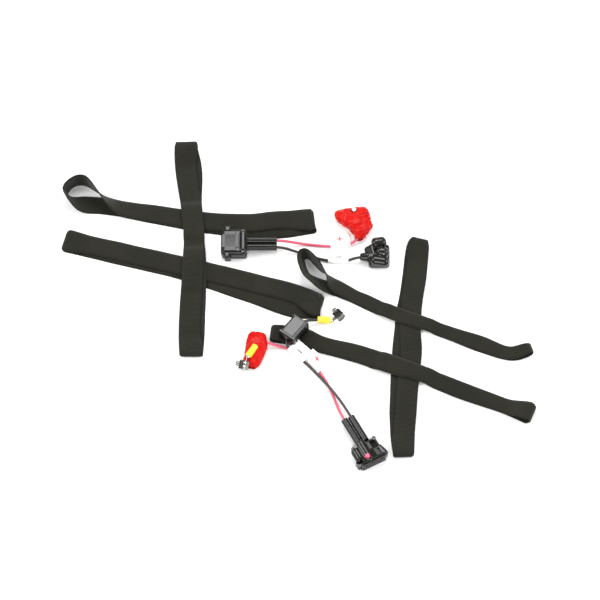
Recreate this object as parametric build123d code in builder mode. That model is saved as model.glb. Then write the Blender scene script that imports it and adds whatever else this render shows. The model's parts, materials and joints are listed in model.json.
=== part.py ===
"""Battery strap and wiring lead kit: two sets of webbing lifting straps and two two-wire battery leads."""

import os
from math import cos, pi, radians, sin, tan

from build123d import *

os.makedirs("parts", exist_ok=True)

# ---- driving dimensions, in millimetres ----
WEB_LAYER = 1.4  # one layer of webbing
STRAP = 2 * WEB_LAYER + 0.2  # a loop of webbing pressed flat
GAP = 0.3  # clearance between pieces that only rest on each other
RAMP = 12.0  # run over which a strap climbs onto another
LOOP_HEIGHT = 20.0  # a loop standing on its edge

WIRE_R = 1.7
SLEEVE_R = 4.2
SLEEVE_LENGTH = 36.0
SLEEVE_SPACING = 9.0

SHELL_LENGTH = 31.0
SHELL_WIDTH = 33.0
SHELL_HEIGHT = 17.0
SPLIT = 8.5  # height of the joint between the two shells
WALL = 2.0
EAR_REACH = 3.5
EAR_LENGTH = 8.0
CONTACT_R = 2.4
CONTACT_BORE_R = 1.6
CONTACT_SPACING = 14.0
CONTACT_LENGTH = 14.0
CONTACT_BORE_DEPTH = 12.0

BARREL_R = 2.9
BARREL_BORE_R = 1.8
BARREL_LENGTH = 14.0
INSULATION_R = 4.0
INSULATION_BACK = 4.0
RING_REACH = 10.0  # from the barrel's end to the ring's centre
RING_R = 6.0
RING_THICK = 1.0
TONGUE_OVERLAP = 1.5  # how far the tongue runs back into the pressed end of the barrel

BOLT_R = 3.0
BOLT_HOLE_R = 3.1
BOLT_LENGTH = 12.0
HEX_FLATS = 10.0
HEAD_HEIGHT = 4.0
NUT_HEIGHT = 5.0
NUT_BORE_R = 3.05
WASHER_R = 5.4
WASHER_THICK = 1.6

BOOT_WALL = 1.8
BUTTON_R = 3.0


def finish(piece, name):
    """Label one finished piece and write it."""
    piece.part.label = name
    export_step(piece.part, f"parts/{name}.step")


# ---- webbing straps ----
# A station is (x, y, width): the middle of the strap and its width there.
LEFT_UPRIGHT = [
    (-136.0, 227.9, 19), (-136.5, 221.0, 28), (-132.5, 186.0, 33), (-129.5, 144.0, 27), (-125.5, 100.0, 25),
    (-124.0, 58.0, 29), (-124.5, 25.0, 30), (-126.0, -23.0, 32), (-126.5, -75.0, 28),
]
LEFT_UPPER = [
    (-228.0, 134.5, 20), (-177.5, 125.5, 24), (-117.0, 114.0, 28), (-60.0, 108.5, 33), (-16.5, 110.5, 38),
    (21.0, 114.0, 30),
]
LEFT_LOWER = [
    (-282.5, 86.9, 29), (-201.5, 65.5, 30), (-138.5, 48.5, 31), (-56.5, 21.5, 39), (0.0, 1.5, 44),
    (29.0, -7.5, 28),
]
RIGHT_UPRIGHT = [
    (150.0, 88.0, 20), (147.5, 77.5, 27), (142.5, 33.0, 29), (134.5, -23.0, 30), (132.5, -72.0, 36),
    (128.5, -121.0, 33), (126.0, -176.5, 30), (127.0, -211.0, 24),
]
RIGHT_UPPER = [
    (38.0, 23.5, 17), (77.0, 5.0, 17), (117.0, -16.0, 19), (167.5, -35.5, 17), (222.0, -57.5, 20),
    (258.0, -71.0, 17), (283.0, -66.0, 13),
]
RIGHT_LOWER = [
    (-30.5, -43.5, 20), (4.0, -47.5, 26), (28.5, -57.5, 22), (77.0, -72.0, 24), (113.0, -86.5, 25),
    (150.5, -100.0, 21), (198.0, -121.5, 22), (246.0, -141.0, 20), (281.5, -155.5, 25),
]
# Outer corners of the two loops that stand open on their edges, in plan.
LEFT_OPEN_LOOP = [
    (-226.0, 143.0), (-242.0, 157.0), (-254.0, 169.5), (-268.0, 168.5), (-280.0, 156.0), (-279.5, 143.0),
    (-264.0, 128.0), (-226.0, 126.0),
]
RIGHT_OPEN_LOOP = [
    (4.5, 53.0), (7.0, 60.5), (14.0, 61.5), (26.0, 48.5), (43.0, 29.0), (40.0, 16.5), (22.0, 24.0),
    (9.5, 37.0),
]
# Each hump is (from, to): the stretch of a strap that lies on another strap.
LEFT_UPRIGHT_HUMPS = [(22.0, 70.0), (96.0, 133.0)]
RIGHT_UPPER_HUMPS = [(110.0, 160.0)]
RIGHT_LOWER_HUMPS = [(105.0, 156.0)]
END_SPARE = 20.0  # a strap's side view runs on past its ends
SIDE_REACH = 400.0  # and as far either way as any strap lies


def strap_outline(stations):
    """Corners of a strap in plan, half its width either side of its middle line."""
    left, right = [], []
    for i, (x, y, width) in enumerate(stations):
        before = stations[max(i - 1, 0)]
        after = stations[min(i + 1, len(stations) - 1)]
        along = Vector(after[0] - before[0], after[1] - before[1]).normalized()
        left.append((x - along.Y * width / 2, y + along.X * width / 2))
        right.append((x + along.Y * width / 2, y - along.X * width / 2))
    return left + right[::-1]


def side_outline(start, end, humps):
    """Corners of a strap seen from its side: a flat band that climbs over each hump."""
    lift = STRAP + GAP
    under = [(start, 0)]
    for low, high in humps:
        under += [(low - RAMP, 0), (low, lift), (high, lift), (high + RAMP, 0)]
    under.append((end, 0))
    return under + [(run, height + STRAP) for run, height in reversed(under)]


def make_strap(name, stations, along, humps=(), open_loop=None):
    """One flat loop of webbing; an open loop at its end stands up as a closed band."""
    ends = [station[along] for station in (stations[0], stations[-1])]
    side = side_outline(min(ends) - END_SPARE, max(ends) + END_SPARE, humps)
    with BuildPart() as strap:
        with BuildSketch(Plane.XY):
            Polygon(*strap_outline(stations), align=None)
        extrude(amount=3 * STRAP)
        # In Plane.XZ the first number runs along X and in Plane.YZ along Y; the second is the height.
        with BuildSketch(Plane.XZ if along == 0 else Plane.YZ):
            Polygon(*side, align=None)
        extrude(amount=SIDE_REACH, both=True, mode=Mode.INTERSECT)
        if open_loop:
            with BuildSketch(Plane.XY):
                Polygon(*open_loop, align=None)
                offset(amount=-STRAP / 2, kind=Kind.INTERSECTION, mode=Mode.SUBTRACT)
            extrude(amount=LOOP_HEIGHT)
    finish(strap, name)


# Stitch blocks on the upper of two crossed straps: (x, y, length along X, length along Y).
LEFT_STITCHES = [(-128.0, 104.0, 18, 5), (-126.5, 35.0, 16, 5)]
RIGHT_STITCHES = [(133.0, -27.0, 22, 5), (131.0, -92.0, 22, 5)]
STITCH_HEIGHT = 0.5


def make_stitching(name, stitches):
    """Low blocks of sewing thread on the webbing where a set is sewn together."""
    with BuildPart() as stitching:
        for x, y, length, width in stitches:
            with BuildSketch(Plane.XY.offset(2 * STRAP + GAP)):
                with Locations((x, y)):
                    Rectangle(length, width)
            extrude(amount=STITCH_HEIGHT)
    finish(stitching, name)


make_strap("left_upright_loop", LEFT_UPRIGHT, 1, LEFT_UPRIGHT_HUMPS)
make_strap("left_upper_cross_loop", LEFT_UPPER, 0, (), LEFT_OPEN_LOOP)
make_strap("left_lower_cross_loop", LEFT_LOWER, 0)
make_stitching("left_stitching", LEFT_STITCHES)
make_strap("right_upright_loop", RIGHT_UPRIGHT, 1)
make_strap("right_upper_cross_loop", RIGHT_UPPER, 0, RIGHT_UPPER_HUMPS, RIGHT_OPEN_LOOP)
make_strap("right_lower_cross_loop", RIGHT_LOWER, 0, RIGHT_LOWER_HUMPS)
make_stitching("right_stitching", RIGHT_STITCHES)


# ---- connectors ----
# A home plane lies under a connector: x from the cable end to the mating end, y across, z up.
TILT = radians(4.5)  # the upper connector leans on the edge of a strap
UPPER_HOME = Plane(origin=(-60.0, 78.5, 2.0), x_dir=(-1, 0, 0), z_dir=(0, -sin(TILT), cos(TILT)))
LOWER_HOME = Plane(origin=(78.0, -194.3, 0.0), x_dir=(0.475, -0.88, 0), z_dir=(0, 0, 1))

EAR_START = 19.5
CARRIER_WIDTH = 25.0
CARRIER_HEIGHT = 10.0
CARRIER_LENGTH = 15.0
SCREW_SPOTS = [(5.0, 12.5), (5.0, -12.5)]
SCREW_R = 1.5
SCREW_HEAD_R = 2.6
BUTTON_SPOT = (23.5, -6.0)
BUTTON_COLLAR = 1.4  # width of the raised ring round the button
COLLAR_HEIGHT = 1.0
BUTTON_PROUD = 1.6  # above its collar
BUTTON_HIDDEN = 0.4  # below the roof's inner face
BREAKER_SPOT = (10.5, -1.0)
BREAKER_SIZE = (9.0, 12.0)
FIT = 0.2  # clearance between pieces of a connector
CLOSE_FIT = 0.05  # where a screw or contact is held
HEAD_RECESS = 1.2  # depth of the seat for a screw's head
HEAD_THICK = 1.0
PANEL_LENGTH = 19.0
PANEL_END = 2.0  # from the panel's outer edge to the mating end
PANEL_BITE_R = 4.0  # round bites out of the panel's corners
PANEL_HEIGHT = 0.8
RIB_WIDTH = 2.6
RIB_HEIGHT = 1.2
CONTACT_RECESS = 1.0  # from the mating end
RIB_SPOTS = [(9.5, -1.5, 16.0), (14.5, -12.8, 10.0)]  # (middle, across, length)


def upright(home, run, height=0.0):
    """The plane across a connector at a distance from its cable end, facing the mating end."""
    return Plane(origin=home.from_local_coords((run, 0, height)), x_dir=home.y_dir, z_dir=home.x_dir)


def make_shell(name, home, floor, roof, inside, panel=False, ribs=False):
    """Half of a connector's housing, from floor to roof; inside is its open face's height."""
    middle = SHELL_LENGTH / 2
    depth = roof - floor - WALL
    with BuildPart() as shell:
        with BuildSketch(home.offset(floor)):
            with Locations((middle, 0)):
                RectangleRounded(SHELL_LENGTH, SHELL_WIDTH, 3)
            with Locations((EAR_START + EAR_LENGTH / 2, 0)):
                RectangleRounded(EAR_LENGTH, SHELL_WIDTH + 2 * EAR_REACH, 1.5)
        extrude(amount=roof - floor)
        outer = roof if inside == floor else floor
        rim = shell.faces().sort_by(Axis(home.origin, home.z_dir))[-1 if outer == roof else 0]
        chamfer(rim.edges(), 1.0)
        with BuildSketch(home.offset(inside)):
            with Locations((middle, 0)):
                Rectangle(SHELL_LENGTH - 2 * WALL, SHELL_WIDTH - 2 * WALL)
        extrude(amount=depth if inside == floor else -depth, mode=Mode.SUBTRACT)
        with BuildSketch(upright(home, SHELL_LENGTH, SPLIT)):
            Rectangle(CARRIER_WIDTH + FIT, CARRIER_HEIGHT + FIT)
        extrude(amount=-WALL - 1, mode=Mode.SUBTRACT)
        with BuildSketch(upright(home, 0, SPLIT)):
            with GridLocations(SLEEVE_SPACING, 1, 2, 1):
                Circle(WIRE_R + FIT)
        extrude(amount=WALL + 1, mode=Mode.SUBTRACT)
        if panel:
            panel_width = SHELL_WIDTH - 6
            with BuildSketch(home.offset(roof)):
                with Locations((SHELL_LENGTH - PANEL_END - PANEL_LENGTH / 2, 0)):
                    Rectangle(PANEL_LENGTH, panel_width)
                    with GridLocations(PANEL_LENGTH, panel_width, 2, 2):
                        Circle(PANEL_BITE_R, mode=Mode.SUBTRACT)
            extrude(amount=PANEL_HEIGHT)
        if ribs:
            with BuildSketch(home.offset(roof)):
                for run, across, length in RIB_SPOTS:
                    with Locations((run, across)):
                        SlotOverall(length, RIB_WIDTH)
            extrude(amount=RIB_HEIGHT)
            with BuildSketch(home.offset(roof)):
                with Locations(BUTTON_SPOT):
                    Circle(BUTTON_R + BUTTON_COLLAR)
            extrude(amount=COLLAR_HEIGHT)
            with BuildSketch(home.offset(roof + COLLAR_HEIGHT)):
                with Locations(BUTTON_SPOT):
                    Circle(BUTTON_R + FIT)
            extrude(amount=-COLLAR_HEIGHT - WALL - 1.0, mode=Mode.SUBTRACT)
        with BuildSketch(home.offset(floor)):
            with Locations(*SCREW_SPOTS):
                Circle(SCREW_R + CLOSE_FIT)
        extrude(amount=roof - floor, mode=Mode.SUBTRACT)
        if inside == floor:
            with BuildSketch(home.offset(roof)):
                with Locations(*SCREW_SPOTS):
                    Circle(SCREW_HEAD_R + FIT)
            extrude(amount=-HEAD_RECESS, mode=Mode.SUBTRACT)
    finish(shell, name)


def make_connector(prefix, home, panel, ribs):
    """Both shells of a connector, its contact carrier and contacts, its screws and the cable sleeves."""
    make_shell(f"{prefix}_connector_lower_shell", home, 0.0, SPLIT, SPLIT)
    make_shell(f"{prefix}_connector_upper_shell", home, SPLIT, SHELL_HEIGHT, SPLIT, panel, ribs)

    with BuildPart() as carrier:
        with BuildSketch(upright(home, SHELL_LENGTH, SPLIT)):
            Rectangle(CARRIER_WIDTH, CARRIER_HEIGHT)
            with GridLocations(CONTACT_SPACING, 1, 2, 1):
                Circle(CONTACT_R + CLOSE_FIT, mode=Mode.SUBTRACT)
        extrude(amount=-CARRIER_LENGTH)
    finish(carrier, f"{prefix}_contact_carrier")

    with BuildPart() as contacts:
        with BuildSketch(upright(home, SHELL_LENGTH - CONTACT_RECESS, SPLIT)):
            with GridLocations(CONTACT_SPACING, 1, 2, 1):
                Circle(CONTACT_R)
        extrude(amount=-CONTACT_LENGTH)
        with BuildSketch(upright(home, SHELL_LENGTH - CONTACT_RECESS, SPLIT)):
            with GridLocations(CONTACT_SPACING, 1, 2, 1):
                Circle(CONTACT_BORE_R)
        extrude(amount=-CONTACT_BORE_DEPTH, mode=Mode.SUBTRACT)
    finish(contacts, f"{prefix}_contacts")

    with BuildPart() as screws:
        with BuildSketch(home.offset(1.0)):
            with Locations(*SCREW_SPOTS):
                Circle(SCREW_R)
        extrude(amount=SHELL_HEIGHT - 2.0)
        with BuildSketch(home.offset(SHELL_HEIGHT - HEAD_RECESS)):
            with Locations(*SCREW_SPOTS):
                Circle(SCREW_HEAD_R)
        extrude(amount=HEAD_THICK)
    finish(screws, f"{prefix}_connector_screws")

    with BuildPart() as sleeves:
        with BuildSketch(upright(home, 0, SPLIT)):
            with GridLocations(SLEEVE_SPACING, 1, 2, 1):
                Circle(SLEEVE_R)
                Circle(WIRE_R + FIT, mode=Mode.SUBTRACT)
        extrude(amount=-SLEEVE_LENGTH)
    finish(sleeves, f"{prefix}_cable_sleeves")


make_connector("upper", UPPER_HOME, panel=True, ribs=False)
make_connector("lower", LOWER_HOME, panel=False, ribs=True)

with BuildPart() as breaker:
    with BuildSketch(LOWER_HOME.offset(SPLIT + 0.3)):
        with Locations(BREAKER_SPOT):
            Rectangle(*BREAKER_SIZE)
    extrude(amount=SHELL_HEIGHT - SPLIT - WALL - 0.6)
finish(breaker, "circuit_breaker")

with BuildPart() as button:
    with BuildSketch(LOWER_HOME.offset(SHELL_HEIGHT - WALL - BUTTON_HIDDEN)):
        with Locations(BUTTON_SPOT):
            Circle(BUTTON_R)
    extrude(amount=BUTTON_HIDDEN + WALL + COLLAR_HEIGHT + BUTTON_PROUD)
    fillet(button.edges().sort_by(Axis.Z)[-1], 0.8)
finish(button, "reset_button")


# ---- leads ----
# Each route starts inside its cable sleeve and ends inside the barrel of its ring terminal.
UPPER_RED_ROUTE = [
    (-33.0, 82.32, 10.83), (-19.0, 82.32, 10.83), (-4.0, 82.8, 5.5), (14.0, 81.5, 2.4), (36.0, 79.2, 2.4),
    (55.0, 79.0, 2.4), (68.5, 82.0, 4.0), (76.4, 90.66, 7.0), (73.6, 104.38, 7.0),
]
UPPER_BLACK_ROUTE = [
    (-33.0, 73.35, 10.12), (-19.0, 73.35, 10.12), (-5.0, 71.5, 5.0), (11.0, 67.5, 2.4), (28.0, 61.0, 2.4),
    (46.0, 57.2, 2.4), (61.0, 56.5, 4.4), (74.0, 60.0, 9.0), (88.0, 60.0, 9.0),
]
LOWER_RED_ROUTE = [
    (61.22, -172.68, 8.5), (54.09, -159.48, 8.5), (49.0, -145.0, 4.0), (43.5, -127.0, 2.0),
    (35.0, -107.5, 2.0), (24.0, -91.0, 2.4), (12.0, -77.5, 2.4), (0.5, -68.5, 2.0), (-12.0, -62.5, 2.0),
    (-25.0, -60.5, 4.0), (-36.5, -58.0, 8.5), (-46.68, -61.47, 11.27), (-54.59, -72.9, 9.57),
]
LOWER_BLACK_ROUTE = [
    (69.14, -168.4, 8.5), (62.01, -155.2, 8.5), (52.5, -138.5, 8.2), (40.5, -121.0, 7.4), (28.5, -104.5, 4.0),
    (14.0, -88.0, 4.5), (0.0, -76.0, 7.0), (-10.5, -67.0, 9.5), (-12.5, -56.5, 11.0), (-2.0, -41.5, 12.0),
    (9.0, -30.0, 10.0), (21.6, -26.0, 6.0), (35.6, -26.0, 6.0),
]
BEND_SHARE = 0.45  # of the shorter run beside a corner


def bend_radii(route):
    """The largest radius each corner of a route takes, from its turn and its shorter run."""
    points = [Vector(*point) for point in route]
    radii = []
    for before, here, after in zip(points, points[1:], points[2:]):
        shorter = min((here - before).length, (after - here).length)
        turn = (here - before).get_angle(after - here)
        radii.append(BEND_SHARE * shorter / tan(radians(turn / 2)))
    return radii


def make_lead(name, route):
    """A lead of round wire along its route: straight runs joined by tangent arcs."""
    with BuildPart() as lead:
        with BuildLine() as path:
            FilletPolyline(*route, radius=bend_radii(route))
        with BuildSketch(Plane(origin=path.line @ 0, z_dir=path.line % 0)):
            Circle(WIRE_R)
        sweep()
    length = sum(edge.length for edge in path.edges())
    share = lead.part.volume / (pi * WIRE_R**2 * length)
    print(name, "length", round(length, 1), "share of a full tube", round(share, 4))
    finish(lead, name)


make_lead("upper_red_lead", UPPER_RED_ROUTE)
make_lead("upper_black_lead", UPPER_BLACK_ROUTE)
make_lead("lower_red_lead", LOWER_RED_ROUTE)
make_lead("lower_black_lead", LOWER_BLACK_ROUTE)


# ---- polarity flags on the leads ----
FLAG_WIDTH = 24.0
FLAG_REACH = 17.0
FLAG_THICK = 0.5
FLAG_RING_R = 2.4


def make_flag(name, middle, along, out, on_top):
    """A folded flag: a ring round the lead and a flat tab that reaches out from it."""
    heading = Vector(*along).normalized()
    start = Vector(*middle) - heading * (FLAG_WIDTH / 2)
    side = FLAG_RING_R - FLAG_THICK / 2
    with BuildPart() as flag:
        with BuildSketch(Plane(origin=start, x_dir=out, z_dir=heading)):
            Circle(FLAG_RING_R)
            with Locations((FLAG_REACH / 2, side if on_top else -side)):
                Rectangle(FLAG_REACH, FLAG_THICK)
            Circle(FLAG_RING_R - FLAG_THICK, mode=Mode.SUBTRACT)
        extrude(amount=FLAG_WIDTH)
    finish(flag, name)


make_flag("upper_plus_flag", (45.5, 79.1, 2.4), (1, -0.01, 0), (0.01, 1, 0), False)
make_flag("upper_minus_flag", (49.0, 57.0, 2.7), (1, -0.12, 0.03), (0.12, 1, 0), False)
make_flag("lower_plus_flag", (21.0, -87.7, 2.4), (0.665, -0.747, 0), (0.37, 0.33, 0.87), True)
make_flag("lower_minus_flag", (-0.5, -75.8, 6.9), (0.76, -0.65, -0.15), (0.65, 0.76, 0), True)


# ---- ring terminals, with their bolts, washers and nuts ----
def make_terminal(prefix, start, heading, normal):
    """A ring terminal from the mouth of its barrel; normal is the way its bolt points."""
    along = Vector(*heading).normalized()
    up = Vector(*normal).normalized()
    mouth = Plane(origin=start, z_dir=along)
    tip = Vector(*start) + along * BARREL_LENGTH
    flat = (along - up * along.dot(up)).normalized()
    tongue = Plane(origin=tip - up * (RING_THICK / 2), x_dir=flat, z_dir=up)
    eye = Plane(origin=tongue.origin + flat * RING_REACH, x_dir=flat, z_dir=up)

    with BuildPart() as terminal:
        with BuildSketch(mouth):
            Circle(BARREL_R)
            Circle(BARREL_BORE_R, mode=Mode.SUBTRACT)
        extrude(amount=BARREL_LENGTH)
        with BuildSketch(mouth.offset(BARREL_LENGTH - 4.0)):
            Circle(BARREL_R)
        extrude(amount=4.0)
        with BuildSketch(tongue):
            with Locations(((RING_REACH - TONGUE_OVERLAP - RING_R) / 2 + 1.0, 0)):
                Rectangle(RING_REACH + TONGUE_OVERLAP - RING_R + 2.0, 7.0)
            with Locations((RING_REACH, 0)):
                Circle(RING_R)
                Circle(BOLT_HOLE_R, mode=Mode.SUBTRACT)
        extrude(amount=RING_THICK)
    finish(terminal, f"{prefix}_ring_terminal")

    with BuildPart() as barrel:
        with BuildSketch(mouth.offset(-INSULATION_BACK)):
            Circle(INSULATION_R)
            Circle(BARREL_R + 0.05, mode=Mode.SUBTRACT)
        extrude(amount=INSULATION_BACK + BARREL_LENGTH - TONGUE_OVERLAP - GAP)
    finish(barrel, f"{prefix}_insulation_barrel")

    with BuildPart() as bolt:
        with BuildSketch(eye):
            RegularPolygon(HEX_FLATS / 2, 6, major_radius=False)
        extrude(amount=-HEAD_HEIGHT)
        with BuildSketch(eye):
            Circle(BOLT_R)
        extrude(amount=BOLT_LENGTH)
        chamfer(bolt.faces().sort_by(Axis(eye.origin, eye.z_dir))[-1].edges(), 0.6)
    finish(bolt, f"{prefix}_terminal_bolt")

    seat = eye.offset(RING_THICK)
    with BuildPart() as washer:
        with BuildSketch(seat):
            Circle(WASHER_R)
            Circle(BOLT_HOLE_R, mode=Mode.SUBTRACT)
            with Locations((WASHER_R, 0)):
                Rectangle(WASHER_R, 0.8, mode=Mode.SUBTRACT)
        extrude(amount=WASHER_THICK)
    finish(washer, f"{prefix}_spring_washer")

    with BuildPart() as nut:
        with BuildSketch(seat.offset(WASHER_THICK)):
            RegularPolygon(HEX_FLATS / 2, 6, major_radius=False)
            Circle(NUT_BORE_R, mode=Mode.SUBTRACT)
        extrude(amount=NUT_HEIGHT)
    finish(nut, f"{prefix}_terminal_nut")
    print(prefix, "nut seat", tuple(round(v, 2) for v in seat.origin))


make_terminal("upper_red", (74.8, 98.5, 7.0), (-0.2, 0.98, 0), (0, 0, 1))
make_terminal("upper_black", (82.0, 60.0, 9.0), (1, 0, 0), (0, 0, 1))
make_terminal("lower_red", (-51.2, -68.0, 10.3), (-0.56, -0.81, -0.12), (-0.97, 0.22, 0.05))
make_terminal("lower_black", (29.6, -26.0, 6.0), (1, 0, 0), (-0.6, 0.35, 0.72))


# ---- terminal boots ----
def make_boot(name, home, length, width, height, notches, upside_down=False, lobes=()):
    """A soft boot: a hollow cap open on one face; each notch is (x, y, length, width, low, high)."""
    with BuildPart() as boot:
        with BuildSketch(home):
            RectangleRounded(length, width, 4)
            if lobes:
                with Locations(*lobes):
                    Circle(8.5)
        extrude(amount=height)
        floor = BOOT_WALL if upside_down else 0.0
        with BuildSketch(home.offset(floor)):
            RectangleRounded(length - 2 * BOOT_WALL, width - 2 * BOOT_WALL, 4 - BOOT_WALL)
        extrude(amount=height - BOOT_WALL, mode=Mode.SUBTRACT)
        for x, y, cut_length, cut_width, low, high in notches:
            with BuildSketch(home.offset(low)):
                with Locations((x, y)):
                    Rectangle(cut_length, cut_width)
            extrude(amount=high - low, mode=Mode.SUBTRACT)
    finish(boot, name)


UPPER_RED_BOOT = Plane(origin=(72.0, 114.0, 0), x_dir=(-0.2, 0.98, 0), z_dir=(0, 0, 1))
UPPER_BLACK_BOOT = Plane(origin=(97.0, 62.0, 0), x_dir=(1, 0, 0), z_dir=(0, 0, 1))
LOWER_RED_BOOT = Plane(origin=(-49.5, -67.5, 0), x_dir=(-0.14, -0.99, 0), z_dir=(0, 0, 1))
LOWER_BLACK_BOOT = Plane(origin=(-3.0, -44.0, STRAP + 1.2), x_dir=(0.52, 0.854, 0), z_dir=(0, 0, 1))

make_boot(
    "upper_red_boot", UPPER_RED_BOOT, 34, 36, 18,
    [(-16, 2, 6, 22, 0, 13), (-12, 14, 12, 10, 0, 2.5), (16, 0, 6, 30, 0, 16), (12, 0, 24, 8, 15, 18)],
)
make_boot(
    "upper_black_boot", UPPER_BLACK_BOOT, 34, 30, 24,
    [(-16, -2, 6, 12, 0, 16), (16, -2, 6, 16, 0, 22)], lobes=[(7, 13), (7, -9)],
)
make_boot(
    "lower_red_boot", LOWER_RED_BOOT, 46, 27, 14,
    [(-8, 12.5, 26, 6, 3, 14), (14, -8, 30, 16, 3, 14), (19, -9, 20, 14, 0, 14)], upside_down=True,
)
make_boot(
    "lower_black_boot", LOWER_BLACK_BOOT, 28, 17, 17,
    [(-13, 0, 6, 10, 0, 14), (13, 0, 6, 13, 0, 15)],
)
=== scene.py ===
import json
import math

import bmesh
import bpy
from mathutils import Euler, Matrix, Vector, noise

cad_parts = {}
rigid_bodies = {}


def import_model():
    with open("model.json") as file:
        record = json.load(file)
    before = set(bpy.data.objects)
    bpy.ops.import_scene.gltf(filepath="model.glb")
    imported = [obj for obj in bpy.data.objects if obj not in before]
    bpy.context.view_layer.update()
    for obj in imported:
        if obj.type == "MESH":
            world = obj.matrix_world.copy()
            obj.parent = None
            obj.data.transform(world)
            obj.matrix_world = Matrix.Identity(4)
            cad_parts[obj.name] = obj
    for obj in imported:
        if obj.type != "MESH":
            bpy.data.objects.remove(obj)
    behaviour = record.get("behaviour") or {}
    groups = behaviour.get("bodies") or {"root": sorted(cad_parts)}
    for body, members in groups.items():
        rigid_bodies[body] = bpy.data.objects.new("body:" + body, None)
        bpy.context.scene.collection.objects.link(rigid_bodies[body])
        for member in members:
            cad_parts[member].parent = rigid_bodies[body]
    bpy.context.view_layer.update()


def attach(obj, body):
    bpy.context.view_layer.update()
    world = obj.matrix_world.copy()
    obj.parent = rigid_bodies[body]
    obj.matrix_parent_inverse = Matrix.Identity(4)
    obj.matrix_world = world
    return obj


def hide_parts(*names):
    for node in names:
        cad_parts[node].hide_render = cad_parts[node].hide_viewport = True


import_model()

noise.seed_set(7)
UP = Vector((0, 0, 1))

# straps
WEBBING_WIDTH = 0.0254
WEBBING_THICK = 0.0013
ROW_STEP = 0.003  # between the rows of a ribbon
LAYER_STEP = 0.00148  # from the lower layer of a strap to the upper one
LOWEST_LAYER = WEBBING_THICK / 2 + 0.0001
STRAP_HEIGHT = 0.0033  # a strap lying on another is this much higher
RAMP = 0.012  # over which it climbs
FLARE = 0.005  # the webbing is pressed wider by this at a fold
FLARE_REACH = 0.035
LIFT_REACH = 0.03  # from a fold to where the two layers lie close
FOLD_STRETCH = 1.15
FOLD_PINCH = 0.16
RIB_PITCH = 0.0017
WARP_PITCH = 0.0011

# leads and labels
WIRE_RADIUS = 0.0017
FLAG_LENGTH = 0.024
FLAG_REACH = 0.017
FLAG_RING = 0.0021
FLAG_SAG = 0.0020
FLAG_DROOP = 0.0010
FLAG_GAP = 0.0011  # between the two halves of a label, beside the wire
LABEL_TOP = 0.00018  # the upper half's height over the join
MARK_STROKE = 0.0036
MARK_PEN = 0.0007

# threads
STITCH_PITCH = 0.0034
STITCH_LENGTH = 0.0024
STITCH_RADIUS = 0.00028
STITCH_ARCH = 0.00045

# the view
ELEVATION = math.radians(60)
DISTANCE = 5.04


# ---- shader helpers ----
def new_material(name):
    """A new material, its node tree and its shader."""
    material = bpy.data.materials.new(name)
    material.use_nodes = True
    tree = material.node_tree
    shader = tree.nodes["Principled BSDF"]
    return material, tree, shader


def node(tree, kind, inputs=None, **settings):
    """A shader node; inputs take a value or another node's socket."""
    made = tree.nodes.new(kind)
    for key, value in settings.items():
        setattr(made, key, value)
    for key, value in (inputs or {}).items():
        if isinstance(value, bpy.types.NodeSocket):
            tree.links.new(value, made.inputs[key])
        else:
            made.inputs[key].default_value = value
    return made


def maths(tree, operation, first, second=0.0):
    """The result of a sum on two values or sockets."""
    return node(tree, "ShaderNodeMath", {0: first, 1: second}, operation=operation).outputs[0]


def ramp(tree, factor, stops):
    """A colour picked from stops, each a place and a colour."""
    made = node(tree, "ShaderNodeValToRGB", {0: factor})
    elements = made.color_ramp.elements
    while len(elements) < len(stops):
        elements.new(0.5)
    for element, (place, colour) in zip(elements, stops):
        element.position = place
        element.color = (*colour, 1)
    return made.outputs[0]


def object_noise(tree, scale, detail=4.0):
    """Noise in the piece's own coordinates."""
    where = node(tree, "ShaderNodeTexCoord").outputs["Object"]
    inputs = {"Vector": where, "Scale": scale, "Detail": detail, "Roughness": 0.55}
    return node(tree, "ShaderNodeTexNoise", inputs).outputs[0]


def bump(tree, height, strength, distance, normal=None):
    """A normal disturbed by a height."""
    inputs = {"Height": height, "Strength": strength, "Distance": distance}
    if normal is not None:
        inputs["Normal"] = normal
    return node(tree, "ShaderNodeBump", inputs).outputs[0]


def plain_material(name, dark, light, rough, scale, bump_size=0.00004, **extra):
    """A mottled finish with fine relief; colour and roughness vary a little. extra sets shader inputs."""
    material, tree, shader = new_material(name)
    mottle = object_noise(tree, scale)
    broad = object_noise(tree, scale * 0.12, 2.0)
    mixed = maths(tree, "MULTIPLY", maths(tree, "ADD", mottle, broad), 0.5)
    tree.links.new(ramp(tree, mixed, [(0.35, dark), (0.68, light)]), shader.inputs["Base Color"])
    rough_out = maths(tree, "ADD", maths(tree, "MULTIPLY", broad, 0.16), rough - 0.08)
    tree.links.new(rough_out, shader.inputs["Roughness"])
    for key, value in extra.items():
        shader.inputs[key.replace("_", " ")].default_value = value
    tree.links.new(bump(tree, mottle, 0.35, bump_size), shader.inputs["Normal"])
    return material


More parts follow.
